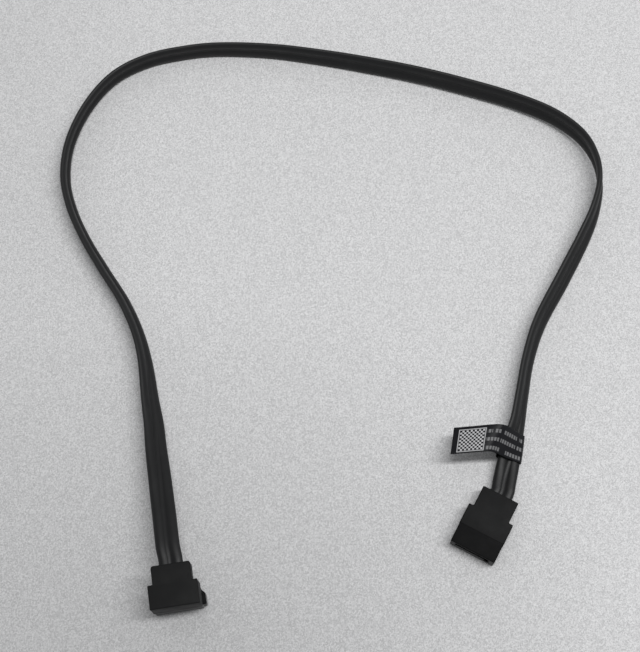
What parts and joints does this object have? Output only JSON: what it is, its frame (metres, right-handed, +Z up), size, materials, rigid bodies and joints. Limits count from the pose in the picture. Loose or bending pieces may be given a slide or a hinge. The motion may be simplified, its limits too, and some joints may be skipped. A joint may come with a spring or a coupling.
{
  "type": "hard disk data cable",
  "caption": "Flat twin-pair data cable with a straight keyed plug, a right-angled keyed plug and a folded flag label, for joining a drive to a main board.",
  "frame": {"origin": "bottom centre of the box round the two plugs, on the surface that they lie on", "axes": "+X from the right-angled plug towards the straight plug, +Y from the plugs towards the far bend of the cable, +Z up"},
  "size_m": [0.1727, 0.1861, 0.0139],
  "materials": {
    "ribbon_jacket": "smooth black cable jacket, soft sheen",
    "moulded_body": "black moulded plastic, fine matt grain",
    "insulator": "black connector plastic, smooth satin",
    "gold_contact": "gold-plated sprung contact, bright",
    "core_insulation": "pale wire insulation",
    "tinned_wire": "tinned drain wire",
    "label_film": "black label film, satin, with pale print"
  },
  "bodies": {
    "root": {"ribbon_cable": "ribbon_jacket", "flag_label": "label_film", "straight_housing": "insulator", "straight_overmould": "moulded_body", "straight_contact_1": "gold_contact", "straight_contact_2": "gold_contact", "straight_contact_3": "gold_contact", "straight_contact_4": "gold_contact", "straight_contact_5": "gold_contact", "straight_contact_6": "gold_contact", "straight_contact_7": "gold_contact", "straight_core_1": "core_insulation", "straight_core_2": "core_insulation", "straight_core_3": "core_insulation", "straight_core_4": "core_insulation", "straight_drain_1": "tinned_wire", "straight_drain_2": "tinned_wire", "straight_drain_3": "tinned_wire", "straight_drain_4": "tinned_wire", "angled_housing": "insulator", "angled_overmould": "moulded_body", "angled_contact_1": "gold_contact", "angled_contact_2": "gold_contact", "angled_contact_3": "gold_contact", "angled_contact_4": "gold_contact", "angled_contact_5": "gold_contact", "angled_contact_6": "gold_contact", "angled_contact_7": "gold_contact", "angled_core_1": "core_insulation", "angled_core_2": "core_insulation", "angled_core_3": "core_insulation", "angled_core_4": "core_insulation", "angled_drain_1": "tinned_wire", "angled_drain_2": "tinned_wire", "angled_drain_3": "tinned_wire", "angled_drain_4": "tinned_wire"}
  },
  "joints": []
}
